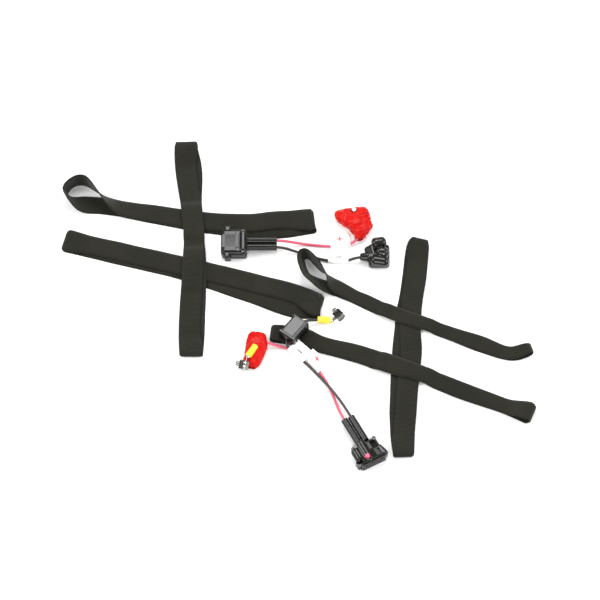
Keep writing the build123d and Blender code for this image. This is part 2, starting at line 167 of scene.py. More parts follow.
def webbing_material():
    """Black woven webbing: weft ribs across, a finer warp along, worn and slightly brown; the grooves between
    the ribs are painted a little darker, as painted shade.
    """
    material, tree, shader = new_material("woven_webbing")
    where = node(tree, "ShaderNodeUVMap", uv_map="weave").outputs[0]
    parts = node(tree, "ShaderNodeSeparateXYZ", {0: where})
    across, along = parts.outputs[0], parts.outputs[1]
    wobble = maths(tree, "MULTIPLY", object_noise(tree, 300.0), 0.0006)

    def waves(place, pitch):
        shifted = maths(tree, "ADD", place, wobble)
        return maths(tree, "SINE", maths(tree, "MULTIPLY", shifted, 2 * math.pi / pitch))

    ribs, warp = waves(along, RIB_PITCH), waves(across, WARP_PITCH)
    plait = maths(tree, "MULTIPLY", ribs, warp)
    height = maths(
        tree, "ADD", maths(tree, "MULTIPLY", ribs, 0.6),
        maths(tree, "ADD", maths(tree, "MULTIPLY", plait, 0.3), maths(tree, "MULTIPLY", warp, 0.15)),
    )
    fibre = object_noise(tree, 2600.0, 3.0)
    cloud = object_noise(tree, 22.0, 3.0)
    # random tone mixed with the weave's relief: rib tops lighter and grooves darker, which is painted shade
    weave_tone_and_groove_shade = maths(
        tree, "ADD", maths(tree, "MULTIPLY", height, 0.10),
        maths(tree, "ADD", maths(tree, "MULTIPLY", cloud, 0.6), maths(tree, "MULTIPLY", fibre, 0.35)),
    )
    stops = [
        (0.25, (0.0035, 0.0033, 0.0015)), (0.62, (0.0115, 0.0112, 0.0050)), (0.9, (0.028, 0.027, 0.013)),
    ]
    tree.links.new(ramp(tree, weave_tone_and_groove_shade, stops), shader.inputs["Base Color"])
    shader.inputs["Roughness"].default_value = 0.9
    shader.inputs["Specular IOR Level"].default_value = 0.25
    shader.inputs["Sheen Weight"].default_value = 0.12
    shader.inputs["Sheen Roughness"].default_value = 0.5
    fine = bump(tree, fibre, 0.4, 0.00012)
    tree.links.new(bump(tree, height, 0.8, 0.00028, fine), shader.inputs["Normal"])
    return material


BLACK = ((0.0035, 0.0035, 0.0032), (0.0090, 0.0088, 0.0080))
METAL = {"Metallic": 1.0}
MATERIALS = {"webbing": webbing_material()}
# slot, name, darkest colour, lightest colour, roughness, noise scale, other settings
for slot_name, full_name, dark, light, rough, scale, settings in [
    ("thread", "sewing_thread", (0.006, 0.006, 0.005), (0.03, 0.028, 0.022), 0.7, 1500.0, {}),
    ("black_housing", "gloss_black_housing", *BLACK, 0.14, 250.0, {"Specular_IOR_Level": 0.3}),
    ("carrier_plastic", "matt_black_carrier", (0.008, 0.008, 0.008), (0.02, 0.02, 0.02), 0.5, 500.0, {}),
    ("contact_brass", "plated_brass", (0.70, 0.52, 0.22), (0.85, 0.70, 0.38), 0.28, 500.0, METAL),
    ("steel", "zinc_plated_steel", (0.16, 0.16, 0.15), (0.34, 0.33, 0.31), 0.26, 500.0, METAL),
    ("dark_steel", "darkened_steel", (0.03, 0.03, 0.028), (0.09, 0.09, 0.08), 0.32, 500.0, METAL),
    ("sleeve_rubber", "shrink_tube", *BLACK, 0.22, 350.0, {"Specular_IOR_Level": 0.3}),
    ("red_wire", "red_wire_insulation", (0.55, 0.06, 0.11), (0.68, 0.11, 0.17), 0.4, 300.0, {}),
    ("black_wire", "black_wire_insulation", (0.010, 0.008, 0.006), (0.028, 0.022, 0.017), 0.4, 300.0, {}),
    ("white_flag", "white_label", (0.86, 0.86, 0.84), (0.93, 0.93, 0.91), 0.45, 120.0, {}),
    (
        "red_vinyl", "soft_red_vinyl", (0.40, 0.0015, 0.001), (0.58, 0.008, 0.003), 0.34, 160.0,
        {"bump_size": 0.0003, "Specular_IOR_Level": 0.16},
    ),
    (
        "black_vinyl", "soft_black_vinyl", *BLACK, 0.16, 160.0,
        {"bump_size": 0.0002, "Specular_IOR_Level": 0.4},
    ),
    ("yellow_vinyl", "yellow_insulation", (0.72, 0.60, 0.01), (0.85, 0.76, 0.05), 0.35, 250.0, {}),
    ("tinned_copper", "tinned_copper", (0.55, 0.54, 0.52), (0.76, 0.75, 0.73), 0.25, 600.0, METAL),
    ("red_button", "red_button_plastic", (0.62, 0.02, 0.08), (0.78, 0.05, 0.15), 0.28, 300.0, {}),
    ("breaker_case", "breaker_case", (0.02, 0.02, 0.02), (0.05, 0.05, 0.05), 0.5, 500.0, {}),
    ("red_mark", "red_ink", (0.60, 0.03, 0.03), (0.72, 0.05, 0.05), 0.5, 300.0, {}),
    ("black_mark", "black_ink", (0.02, 0.02, 0.02), (0.05, 0.05, 0.05), 0.5, 300.0, {}),
]:
    MATERIALS[slot_name] = plain_material(full_name, dark, light, rough, scale, **settings)

# words in a CAD node's name, and the finish it gets
NODE_SLOTS = {
    "shell": "black_housing", "carrier": "carrier_plastic", "contacts": "contact_brass",
    "screws": "dark_steel", "sleeves": "sleeve_rubber", "ring_terminal": "tinned_copper",
    "insulation_barrel": "yellow_vinyl",
    "terminal_bolt": "steel", "spring_washer": "steel", "terminal_nut": "dark_steel",
    "circuit_breaker": "breaker_case", "reset_button": "red_button",
}


# ---- meshes ----
def add_object(name, data):
    """A new object in the scene."""
    made = bpy.data.objects.new(name, data)
    bpy.context.scene.collection.objects.link(made)
    return made


def dress(piece, body, replaced):
    """Attaches a finished piece to the body it moves with, and hides the CAD node it replaces."""
    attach(piece, body)
    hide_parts(replaced)


def quad_strip(rings, ring, closed=True, wrap=False):
    """Faces between neighbouring rings of points; wrap joins the last ring to the first."""
    faces = []
    for i in range(rings if wrap else rings - 1):
        j = (i + 1) % rings
        for k in range(ring if closed else ring - 1):
            m = (k + 1) % ring
            faces.append((i * ring + k, i * ring + m, j * ring + m, j * ring + k))
    return faces


def add_mesh(name, points, faces, material, smooth=True, uvs=None):
    """A mesh object from points and faces, with one material."""
    mesh = bpy.data.meshes.new(name)
    mesh.from_pydata([tuple(p) for p in points], [], faces)
    mesh.validate()
    if uvs is not None:
        layer = mesh.uv_layers.new(name="weave")
        for loop in mesh.loops:
            layer.data[loop.index].uv = uvs[loop.vertex_index]
    for face in mesh.polygons:
        face.use_smooth = smooth
    mesh.materials.append(MATERIALS[material])
    return add_object(name, mesh)


def spline(points, step):
    """Tuples every step or so along a smooth curve through points, spaced by their first three values."""
    pts = [tuple(p) for p in points]
    count = len(pts)
    places = [0.0]
    for a, b in zip(pts, pts[1:]):
        places.append(places[-1] + max(math.dist(a[:3], b[:3]), 1e-6))

    def slope(i):
        a, b = max(i - 1, 0), min(i + 1, count - 1)
        return [(q - p) / (places[b] - places[a]) for p, q in zip(pts[a], pts[b])]

    made = []
    for i in range(count - 1):
        span = places[i + 1] - places[i]
        parts = max(1, round(span / step))
        first, last = slope(i), slope(i + 1)
        for k in range(parts):
            t = k / parts
            h = (2 * t**3 - 3 * t**2 + 1, t**3 - 2 * t**2 + t, -2 * t**3 + 3 * t**2, t**3 - t**2)
            made.append([
                h[0] * p + h[1] * span * m + h[2] * q + h[3] * span * n
                for p, q, m, n in zip(pts[i], pts[i + 1], first, last)
            ])
    made.append(list(pts[-1]))
    return made


def smoothstep(t):
    """A smooth rise from 0 to 1."""
    t = min(1.0, max(0.0, t))
    return t * t * (3 - 2 * t)


def hump(place, ranges):
    """How high a strap lies at a place along it, over the straps it crosses."""
    rise = 0.0
    for low, high in ranges:
        rise = max(rise, smoothstep((place - low + RAMP) / RAMP) * smoothstep((high + RAMP - place) / RAMP))
    return rise * STRAP_HEIGHT


def ribbon(name, rows):
    """A closed woven ribbon; each row is (centre, width vector), and the last row joins the first."""
    count = len(rows)
    across = [i / 8 - 0.5 for i in range(9)]
    points, uvs = [], []
    travelled = 0.0
    for i, (centre, width) in enumerate(rows):
        before, after = rows[i - 1][0], rows[(i + 1) % count][0]
        tangent = (after - before).normalized()
        full = width.length
        side = (width - tangent * width.dot(tangent)).normalized() * full
        normal = tangent.cross(side).normalized()
        if i:
            travelled += (centre - before).length
        for face in (1, -1):
            for u in across if face == 1 else reversed(across):
                thinned = 1 - 0.45 * max(0.0, (abs(u) - 0.40) / 0.10) ** 2
                points.append(centre + side * u + normal * (face * WEBBING_THICK / 2 * thinned))
                uvs.append((u * full, travelled))
    faces = quad_strip(count, 2 * len(across), wrap=True)
    return add_mesh(name, points, faces, "webbing", uvs=uvs), travelled


def layers(stations, axis, crossings, fan, seed):
    """The lower and upper layer of a flat strap, from its first end to its last, as (centre, width) rows."""
    rows = spline([(x, y, 0.0, w) for x, y, w in stations], ROW_STEP)
    total = len(rows)
    lower, upper = [], []
    for i, (x, y, _, w) in enumerate(rows):
        a, b = rows[max(i - 1, 0)], rows[min(i + 1, total - 1)]
        along = Vector((b[0] - a[0], b[1] - a[1], 0)).normalized()
        side = UP.cross(along)
        end = min(i, total - 1 - i) * ROW_STEP
        width = min(w, WEBBING_WIDTH + FLARE * (1 - smoothstep(end / FLARE_REACH)))
        spare = (w - width) / 2
        base = hump(x if axis == 0 else y, crossings)
        wave = noise.noise(Vector((x * 18, y * 18, seed)))
        sway = 0.0008 * noise.noise(Vector((x * 30, y * 30, seed + 5)))
        lift = 0.0011 * (0.5 + 0.5 * wave) * smoothstep(end / LIFT_REACH) * (0.25 if base > 0 else 1)
        low = Vector((x, y, base + LOWEST_LAYER)) + side * (-spare * fan + sway)
        high = Vector((x, y, base + LOWEST_LAYER + LAYER_STEP + lift)) + side * (spare * fan - sway)
        lower.append((low, side * width))
        upper.append((high, side * width))
    return lower, upper


def fold(last, other, along, radius):
    """The half turn between two layers at a strap's end, as rows."""
    rows = []
    for k in range(1, 10):
        share = k / 10
        angle = math.pi * share
        flat = last[0].lerp(other[0], share)
        centre = Vector((flat.x, flat.y, 0)) + along * (math.sin(angle) * radius * FOLD_STRETCH)
        centre.z = last[0].z + radius - math.cos(angle) * radius
        rows.append((centre, last[1].lerp(other[1], share) * (1 - FOLD_PINCH * math.sin(angle))))
    return rows


def raise_end(layer, radius, at_start):
    """Lifts the upper layer near a folded end so that the fold is round."""
    order = range(len(layer)) if at_start else range(len(layer) - 1, -1, -1)
    first = layer[0 if at_start else -1][0].copy()
    for i in order:
        centre, width = layer[i]
        away = (Vector((centre.x, centre.y)) - Vector((first.x, first.y))).length
        if away > LIFT_REACH:
            break
        lift = (2 * radius - LAYER_STEP) * (1 - smoothstep(away / LIFT_REACH))
        layer[i] = (centre + UP * lift, width)


def standing_loop(rows, side, route):
    """The rows of an open loop, on its edge, that joins the last row back to the first."""
    path = [(*rows[-1][0], 0.0, 0.0)] + route + [(*rows[0][0], 0.0, 0.0)]
    starts, ends = rows[-1][1].length, rows[0][1].length
    turns = spline(path, ROW_STEP)[1:-1]
    made = []
    for k, (x, y, z, turn, lean) in enumerate(turns):
        angle = math.radians(turn)
        width = side * math.cos(angle) - UP * math.sin(angle) + Vector((lean, 0, 0))
        share = k / len(turns)
        wide = WEBBING_WIDTH - (WEBBING_WIDTH - starts) * max(0, 1 - 4 * share)
        wide -= (WEBBING_WIDTH - ends) * max(0, 4 * share - 3)
        made.append((Vector((x, y, z)), width.normalized() * wide))
    return made


def strap(name, body, stations, axis, crossings, fan, seed, radii, route=None):
    """One endless loop of webbing laid flat in two layers, with a round fold at each closed end.

    axis says which coordinate crossings are given in; fan is 1 or -1, the side the upper layer strays to;
    radii are those of the folds; route is that of an open loop standing at the first end instead of a fold.
    """
    lower, upper = layers(stations, axis, crossings, fan, seed)
    trim = [max(1, round(FOLD_STRETCH * radius / ROW_STEP)) for radius in radii]
    first = 0 if route else trim[0]
    lower, upper = lower[first:-trim[1]], upper[first:-trim[1]]
    forward = (lower[-1][0] - lower[-4][0]).normalized()
    forward.z = 0
    raise_end(upper, radii[1], False)
    far_fold = fold(lower[-1], upper[-1], forward, radii[1])
    if route is None:
        raise_end(upper, radii[0], True)
    rows = list(lower) + far_fold + list(reversed(upper))
    backward = (lower[0][0] - lower[3][0]).normalized()
    backward.z = 0
    if route is None:
        rows += list(reversed(fold(lower[0], upper[0], backward, radii[0])))
    else:
        rows = rows[4:-12]  # the loop takes over from these rows
        rows += standing_loop(rows, UP.cross(-backward).normalized(), route)
    piece, length = ribbon(name, rows)
    dress(piece, body, name.replace("webbing_", ""))


# ---- the six straps: x and y along the middle, and the width that the two layers cover together ----
LEFT_UPRIGHT = [
    (-0.136, 0.2279, 0.019), (-0.1365, 0.221, 0.028), (-0.1325, 0.186, 0.033), (-0.1295, 0.144, 0.027),
    (-0.1255, 0.1, 0.025), (-0.124, 0.058, 0.029), (-0.1245, 0.025, 0.03), (-0.126, -0.023, 0.032),
    (-0.1265, -0.075, 0.028),
]
LEFT_UPPER = [
    (-0.228, 0.1345, 0.02), (-0.1775, 0.1255, 0.024), (-0.117, 0.114, 0.028), (-0.06, 0.1085, 0.033),
    (-0.0165, 0.1105, 0.038), (0.021, 0.114, 0.03),
]
LEFT_LOWER = [
    (-0.2825, 0.0869, 0.029), (-0.2015, 0.0655, 0.03), (-0.1385, 0.0485, 0.031),
    (-0.0565, 0.0215, 0.039), (0.0, 0.0015, 0.044), (0.029, -0.0075, 0.028),
]
RIGHT_UPRIGHT = [
    (0.15, 0.088, 0.02), (0.1475, 0.0775, 0.027), (0.1425, 0.033, 0.029), (0.1345, -0.023, 0.03),
    (0.1325, -0.072, 0.036), (0.1285, -0.121, 0.033), (0.126, -0.1765, 0.03), (0.127, -0.211, 0.024),
]
RIGHT_UPPER = [
    (0.038, 0.0235, 0.017), (0.077, 0.005, 0.017), (0.117, -0.016, 0.019), (0.1675, -0.0355, 0.017),
    (0.222, -0.0575, 0.02), (0.258, -0.071, 0.017), (0.283, -0.066, 0.013),
]
RIGHT_LOWER = [
    (-0.0305, -0.0435, 0.02), (0.004, -0.0475, 0.026), (0.0285, -0.0575, 0.022), (0.077, -0.072, 0.024),
    (0.113, -0.0865, 0.025), (0.1505, -0.1, 0.021), (0.198, -0.1215, 0.022), (0.246, -0.141, 0.02),
    (0.2815, -0.1555, 0.025),
]
# the standing loops: x, y and z of the band's middle, its turn on edge in degrees, and its lean
LEFT_LOOP = [
    (-0.2150, 0.1325, 0.0050, 14, 0), (-0.2280, 0.1385, 0.0090, 36, 0), (-0.2400, 0.1480, 0.0122, 62, 0),
    (-0.2500, 0.1585, 0.0134, 82, 0), (-0.2590, 0.1660, 0.0134, 90, 0), (-0.2690, 0.1665, 0.0134, 90, 0),
    (-0.2785, 0.1600, 0.0134, 86, 0.1), (-0.2830, 0.1510, 0.0128, 78, 0.2),
    (-0.2760, 0.1420, 0.0098, 56, 0.2),
    (-0.2680, 0.1385, 0.0050, 24, 0), (-0.2560, 0.1385, 0.0014, 4, 0), (-0.2400, 0.1375, 0.0009, 0, 0),
]
RIGHT_LOOP = [
    (0.0450, 0.0240, 0.0060, 26, 0), (0.0380, 0.0330, 0.0105, 62, 0), (0.0290, 0.0440, 0.0130, 86, 0),
    (0.0200, 0.0550, 0.0134, 90, 0), (0.0125, 0.0620, 0.0134, 90, 0.1), (0.0070, 0.0600, 0.0132, 90, 0.3),
    (0.0060, 0.0520, 0.0128, 88, 0.45), (0.0085, 0.0420, 0.0118, 78, 0.40), (0.0130, 0.0340, 0.0100, 60, 0.2),
    (0.0220, 0.0280, 0.0078, 42, 0), (0.0340, 0.0215, 0.0055, 22, 0),
]

strap(
    "webbing_left_upright_loop", "left_straps", LEFT_UPRIGHT, 1, [(0.022, 0.070), (0.096, 0.133)], -1, 1.0,
    (0.0046, 0.0022),
)
strap(
    "webbing_left_upper_cross_loop", "left_straps", LEFT_UPPER, 0, [], 1, 12.0, (0.002, 0.0030), LEFT_LOOP,
)
strap("webbing_left_lower_cross_loop", "left_straps", LEFT_LOWER, 0, [], 1, 23.0, (0.0028, 0.0034))
strap("webbing_right_upright_loop", "right_straps", RIGHT_UPRIGHT, 1, [], 1, 34.0, (0.0030, 0.0022))
strap(
    "webbing_right_upper_cross_loop", "right_straps", RIGHT_UPPER, 0, [(0.110, 0.160)], 1, 45.0,
    (0.002, 0.0052), RIGHT_LOOP,
)
strap(
    "webbing_right_lower_cross_loop", "right_straps", RIGHT_LOWER, 0, [(0.105, 0.156)], 1, 56.0,
    (0.0030, 0.0050),
)


# ---- the leads' routes, as in the CAD ----
UPPER_RED_ROUTE = [
    (-0.033, 0.08232, 0.01083), (-0.019, 0.08232, 0.01083), (-0.004, 0.0828, 0.0055),
    (0.014, 0.0815, 0.0024), (0.036, 0.0792, 0.0024), (0.055, 0.079, 0.0024), (0.0685, 0.082, 0.004),
    (0.0764, 0.09066, 0.007), (0.0736, 0.10438, 0.007),
]
UPPER_BLACK_ROUTE = [
    (-0.033, 0.07335, 0.01012), (-0.019, 0.07335, 0.01012), (-0.005, 0.0715, 0.005),
    (0.011, 0.0675, 0.0024), (0.028, 0.061, 0.0024), (0.046, 0.0572, 0.0024), (0.061, 0.0565, 0.0044),
    (0.074, 0.06, 0.009), (0.088, 0.06, 0.009),
]
LOWER_RED_ROUTE = [
    (0.06122, -0.17268, 0.0085), (0.05409, -0.15948, 0.0085), (0.049, -0.145, 0.004),
    (0.0435, -0.127, 0.002), (0.035, -0.1075, 0.002), (0.024, -0.091, 0.0024), (0.012, -0.0775, 0.0024),
    (0.0005, -0.0685, 0.002), (-0.012, -0.0625, 0.002), (-0.025, -0.0605, 0.004),
    (-0.0365, -0.058, 0.0085), (-0.04668, -0.06147, 0.01127), (-0.05459, -0.0729, 0.00957),
]
LOWER_BLACK_ROUTE = [
    (0.06914, -0.1684, 0.0085), (0.06201, -0.1552, 0.0085), (0.0525, -0.1385, 0.0082),
    (0.0405, -0.121, 0.0074), (0.0285, -0.1045, 0.004), (0.014, -0.088, 0.0045), (0.0, -0.076, 0.007),
    (-0.0105, -0.067, 0.0095), (-0.0125, -0.0565, 0.011), (-0.002, -0.0415, 0.012),
    (0.009, -0.03, 0.01), (0.0216, -0.026, 0.006), (0.0356, -0.026, 0.006),
]


def wire_line(route):
    """Points along the smooth line that a lead follows through its route."""
    pts = [Vector(p) for p in route]
    made = []
    for i in range(1, len(pts) - 1):
        first = pts[0] if i == 1 else (pts[i - 1] + pts[i]) / 2
        last = pts[-1] if i == len(pts) - 2 else (pts[i] + pts[i + 1]) / 2
        for k in range(24):
            t = k / 24
            made.append(first * (1 - t) ** 2 + pts[i] * (2 * t * (1 - t)) + last * t**2)
    return made


def walk(line, start, step, distance):
    """How far along a line of points to go, by steps of 1 or -1, to cover a distance."""
    place, travelled = start, 0.0
    while travelled < distance:
        travelled += (line[place + step] - line[place]).length
        place += step
    return place


def flag(name, body, replaced, route, middle, out, lifted, mark):
    """A thin label folded round a wire, its two halves joined flat, with a printed mark.

    out is the way the label points from the wire; lifted is how far its edge stands up, and 0 lets it sag.
    """
    line = wire_line(route)
    middle = Vector(middle)
    centre = min(range(len(line)), key=lambda i: (line[i] - middle).length)
    low = walk(line, centre, -1, FLAG_LENGTH / 2)
    high = walk(line, centre, 1, FLAG_LENGTH / 2)
    along = (line[high] - line[low]).normalized()
    out = Vector(out)
    out = (out - along * out.dot(along)).normalized()
    up = along.cross(out)
    up = up if up.z > 0 else -up

    def gap(r):
        return FLAG_GAP * (1 - r / FLAG_REACH) ** 3

    def slope(r):
        far = max(0.0, r - FLAG_RING) / (FLAG_REACH - FLAG_RING)
        return far, (lifted if lifted else -FLAG_SAG) * far

    angles = [math.radians(d) for d in range(45, 316, 18)]
    ring = [(FLAG_RING * math.cos(a), FLAG_RING * math.sin(a)) for a in angles]
    reach = [FLAG_REACH * share for share in (0.25, 0.4, 0.55, 0.7, 0.85, 1.0)]
    outline = [(r, LABEL_TOP + gap(r)) for r in reversed(reach)] + ring
    outline += [(r, -0.00002 - gap(r)) for r in reach]
    points = []
    for i in range(low, high + 1):
        share = (i - low) / (high - low) - 0.5
        for r, h in outline:
            far, rise = slope(r)
            place = line[i] + out * r + up * (h + rise) - UP * (FLAG_DROOP * far * 4 * share * share)
            place.z = max(place.z, 0.0004 + 0.0002 * (h > 0))
            points.append(place)
    faces = quad_strip(high - low + 1, len(outline), closed=False)
    piece = add_mesh(name, points, faces, "white_flag")
    solid = piece.modifiers.new("thickness", "SOLIDIFY")
    solid.thickness = 0.00014
    solid.offset = 0.0
    dress(piece, body, replaced)

    mark_reach = FLAG_REACH * (0.62 if mark == "plus" else 0.38)
    points, faces = [], []
    for crossing in (False, True) if mark == "plus" else (False,):
        start = len(points)
        for height in (0.00025, 0.00040):
            for a, b in ((-1, -1), (1, -1), (1, 1), (-1, 1)):
                step, r = a * MARK_STROKE, mark_reach + b * MARK_PEN
                if crossing:
                    step, r = b * MARK_PEN, mark_reach + a * MARK_STROKE
                place = line[centre] + along * step + out * r + up * (LABEL_TOP + gap(r) + slope(r)[1])
                place.z = max(place.z, 0.0007) + height
                points.append(place)
        box = ((0, 3, 2, 1), (4, 5, 6, 7), (0, 1, 5, 4), (1, 2, 6, 5), (2, 3, 7, 6), (3, 0, 4, 7))
        faces += [tuple(start + i for i in corners) for corners in box]
    colour = "red_mark" if mark == "plus" else "black_mark"
    ink = add_mesh(name + "_mark", points, faces, colour, smooth=False)
    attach(ink, body)


def lead(name, body, replaced, route, colour):
    """A round insulated wire through the points of its route."""
    curve = bpy.data.curves.new(name, "CURVE")
    curve.dimensions = "3D"
    curve.bevel_depth = WIRE_RADIUS
    curve.bevel_resolution = 6
    curve.resolution_u = 16
    line = curve.splines.new("NURBS")
    line.points.add(len(route) - 1)
    for point, place in zip(line.points, route):
        point.co = (*place, 1.0)
    line.order_u = 3
    line.use_endpoint_u = True
    curve.use_fill_caps = True
    curve.materials.append(MATERIALS[colour])
    piece = add_object(name, curve)
    dress(piece, body, replaced)


# the lead set, the polarity, its route and middle of the label, the way the label points, and its lift
for level, sign, route, middle, out, lifted in [
    ("upper", "plus", UPPER_RED_ROUTE, (0.0540, 0.0791, 0.0024), (0.01, 1, 0), 0),
    ("upper", "minus", UPPER_BLACK_ROUTE, (0.0510, 0.0570, 0.0027), (0.12, 1, 0), 0),
    ("lower", "plus", LOWER_RED_ROUTE, (0.0200, -0.0865, 0.0024), (0.37, 0.33, 0.87), 0),
    ("lower", "minus", LOWER_BLACK_ROUTE, (-0.0005, -0.0758, 0.0069), (0.65, 0.76, 0), 0.0012),
]:
    flag(
        f"label_{level}_{sign}", f"{level}_lead_set", f"{level}_{sign}_flag", route, middle, out, lifted, sign
    )

# the lead set, the colour and polarity, its route, where it leaves its sleeve, and its length
for level, colour, sign, route, exit_at, length in [
    ("upper", "red", "plus", UPPER_RED_ROUTE, (-0.024, 0.0823, 0.0108), 0.128),
    ("upper", "black", "minus", UPPER_BLACK_ROUTE, (-0.024, 0.07335, 0.0101), 0.125),
    ("lower", "red", "plus", LOWER_RED_ROUTE, (0.0569, -0.1647, 0.0085), 0.187),
    ("lower", "black", "minus", LOWER_BLACK_ROUTE, (0.0649, -0.1605, 0.0085), 0.202),
]:
    lead(
        f"wire_{level}_{colour}", f"{level}_lead_set", f"{level}_{colour}_lead", route,
        f"{colour}_wire",
    )


# ---- boots and housings ----
def home_matrix(origin, heading, tilt=0.0):
    """Local x along heading, y across to its left, z up; tilt turns it about its own x, in degrees."""
    along = Vector((heading[0], heading[1], 0)).normalized()
    across = UP.cross(along)
    turn = Matrix((along, across, UP)).transposed().to_4x4()
    return Matrix.Translation(origin) @ turn @ Matrix.Rotation(math.radians(tilt), 4, "X")


def moulding(name, body, replaced, colour, home, shapes, soften=0.0):
    """One moulded piece from rounded blocks and rods: (kind, middle, size, turns in degrees, rounding).

    A rod's size is its length and its two diameters. soften is the grain of a skin over all the shapes.
    """
    whole = bmesh.new()
    for kind, middle, size, turns, rounding in shapes:
        part = bmesh.new()
        if kind == "block":
            bmesh.ops.create_cube(part, size=1.0)
            bmesh.ops.scale(part, vec=size, verts=part.verts)
            sharp = list(part.edges)
        else:
            bmesh.ops.create_cone(
                part, cap_ends=True, segments=48, radius1=size[1] / 2, radius2=size[2] / 2, depth=size[0],
                matrix=Matrix.Rotation(math.pi / 2, 4, "Y"),
            )
            sharp = [e for e in part.edges if any(len(f.verts) > 4 for f in e.link_faces)]
        bmesh.ops.bevel(
            part, geom=sharp, offset=rounding, segments=5, profile=0.5, affect="EDGES", clamp_overlap=True
        )
        angles = Euler([math.radians(v) for v in turns])
        part.transform(home @ Matrix.Translation(middle) @ angles.to_matrix().to_4x4())
        lump = bpy.data.meshes.new("lump")
        part.to_mesh(lump)
        part.free()
        whole.from_mesh(lump)
        bpy.data.meshes.remove(lump)
    mesh = bpy.data.meshes.new(name)
    whole.to_mesh(mesh)
    whole.free()
    for face in mesh.polygons:
        face.use_smooth = True
    mesh.materials.append(MATERIALS[colour])
    piece = add_object(name, mesh)
    if soften:
        skin = piece.modifiers.new("skin", "REMESH")
        skin.mode = "VOXEL"
        skin.voxel_size = soften
        skin.use_smooth_shade = True
        ease = piece.modifiers.new("ease", "SMOOTH")
        ease.iterations = 6
        ease.factor = 0.5
    else:
        piece.modifiers.new("normals", "WEIGHTED_NORMAL")
    dress(piece, body, replaced)


def crumpled_boot(name, body, replaced, origin, heading, size, sections, seed, crumple, folds):
    """A soft collapsed boot; a section is (place along, half width left and right, height), as shares."""
    home = home_matrix(origin, heading)
    long, wide, high = size
    ring, steps = 96, 80
    points = []
    rows = spline(sections, 1.0 / steps)
    for u, left, right, h in rows:
        for k in range(ring):
            a = 2 * math.pi * k / ring
            c, d = math.cos(a), math.sin(a)
            y = math.copysign(abs(c) ** 0.7, c) * wide / 2 * (left if c > 0 else right)
            z = (math.copysign(abs(d) ** 0.7, d) * 0.5 + 0.5) * h * high
            spot = Vector(((u - 0.5) * long, y, z))
            swirl = noise.noise_vector(spot * 55 + Vector((seed, 0, 0)))
            pleat = abs(noise.noise(spot * 75 + swirl * 1.6 + Vector((0, seed, 0))))
            fine = noise.noise(spot * 260 + Vector((0, 0, seed)))
            push = crumple * (0.4 - 2.2 * pleat) - folds * max(0.0, 0.18 - pleat) * 5 + 0.0003 * fine
            spot += Vector((0.35 * math.sin(a * 3 + seed), c, d)) * push
            spot.z = max(spot.z, 0.0003)
            points.append(home @ spot)
    piece = add_mesh(name, points, quad_strip(len(rows), ring), "red_vinyl")
    solid = piece.modifiers.new("wall", "SOLIDIFY")
    solid.thickness = 0.0010
    solid.offset = -1.0
    dress(piece, body, replaced)


crumpled_boot(
    "vinyl_upper_red_boot", "upper_red_boot", "upper_red_boot", (0.0722, 0.1085, 0), (-0.16, 0.98),
    (0.043, 0.043, 0.017),
    [
        (0.0, 0.22, 0.30, 0.55), (0.14, 0.24, 0.62, 0.72), (0.32, 0.42, 0.92, 0.85), (0.50, 0.74, 0.92, 0.95),
        (0.66, 1.02, 0.90, 1.0), (0.84, 1.14, 0.84, 1.0), (0.94, 1.10, 0.78, 0.85), (1.0, 1.00, 0.70, 0.6),
    ],
    3.0, 0.0018, 0.0030,
)
crumpled_boot(
    "vinyl_lower_red_boot", "lower_red_boot", "lower_red_boot", (-0.0495, -0.0675, 0), (-0.20, -0.98),
    (0.047, 0.026, 0.013),
    [
        (0.0, 0.62, 0.80, 0.7), (0.12, 0.80, 0.98, 0.9), (0.35, 1.05, 1.0, 1.0), (0.6, 0.95, 0.92, 0.8),
        (0.85, 0.75, 0.88, 0.6), (1.0, 0.45, 0.70, 0.4),
    ],
    17.0, 0.0008, 0.0012,
)
moulding(
    "vinyl_upper_black_boot", "upper_black_boot", "upper_black_boot", "black_vinyl",
    home_matrix((0.0970, 0.0620, 0), (1, 0)),
    [
        ("block", (0.0030, 0.0010, 0.0060), (0.026, 0.030, 0.0120), (0, 0, 0), 0.0040),
        ("block", (-0.0060, 0.0030, 0.0100), (0.014, 0.019, 0.0120), (0, -32, 14), 0.0040),
        ("rod", (0.0030, 0.0140, 0.0150), (0.0180, 0.0150, 0.0150), (0, 4, 12), 0.0050),
        ("rod", (0.0070, 0.0005, 0.0165), (0.0150, 0.0125, 0.0125), (0, 0, 0), 0.0050),
        ("rod", (0.0040, -0.0100, 0.0130), (0.0220, 0.0125, 0.0125), (0, 3, -8), 0.0050),
        ("rod", (-0.0150, -0.0020, 0.0090), (0.0100, 0.0085, 0.0120), (0, 0, 0), 0.0010),
    ],
    0.00055,
)
moulding(
    "vinyl_lower_black_boot", "lower_black_boot", "lower_black_boot", "black_vinyl",
    home_matrix((-0.0030, -0.0440, 0.0042), (0.60, 0.80)),
    [
        ("block", (0, 0, 0.0080), (0.030, 0.021, 0.0160), (0, 0, 0), 0.0024),
        ("block", (0, 0.0005, 0.0158), (0.0255, 0.0150, 0.0030), (0, 0, 0), 0.0007),
        ("block", (-0.0135, 0, 0.0080), (0.004, 0.0235, 0.0175), (0, 0, 0), 0.0012),
        ("block", (0.0135, 0, 0.0080), (0.003, 0.0230, 0.0165), (0, 0, 0), 0.0012),
    ] + [
        ("block", (x, -0.0108, 0.0070), (0.0022, 0.0022, 0.0125), (0, 0, 0), 0.0008)
        for x in (-0.009, -0.0045, 0.0, 0.0045, 0.009)
    ],
)
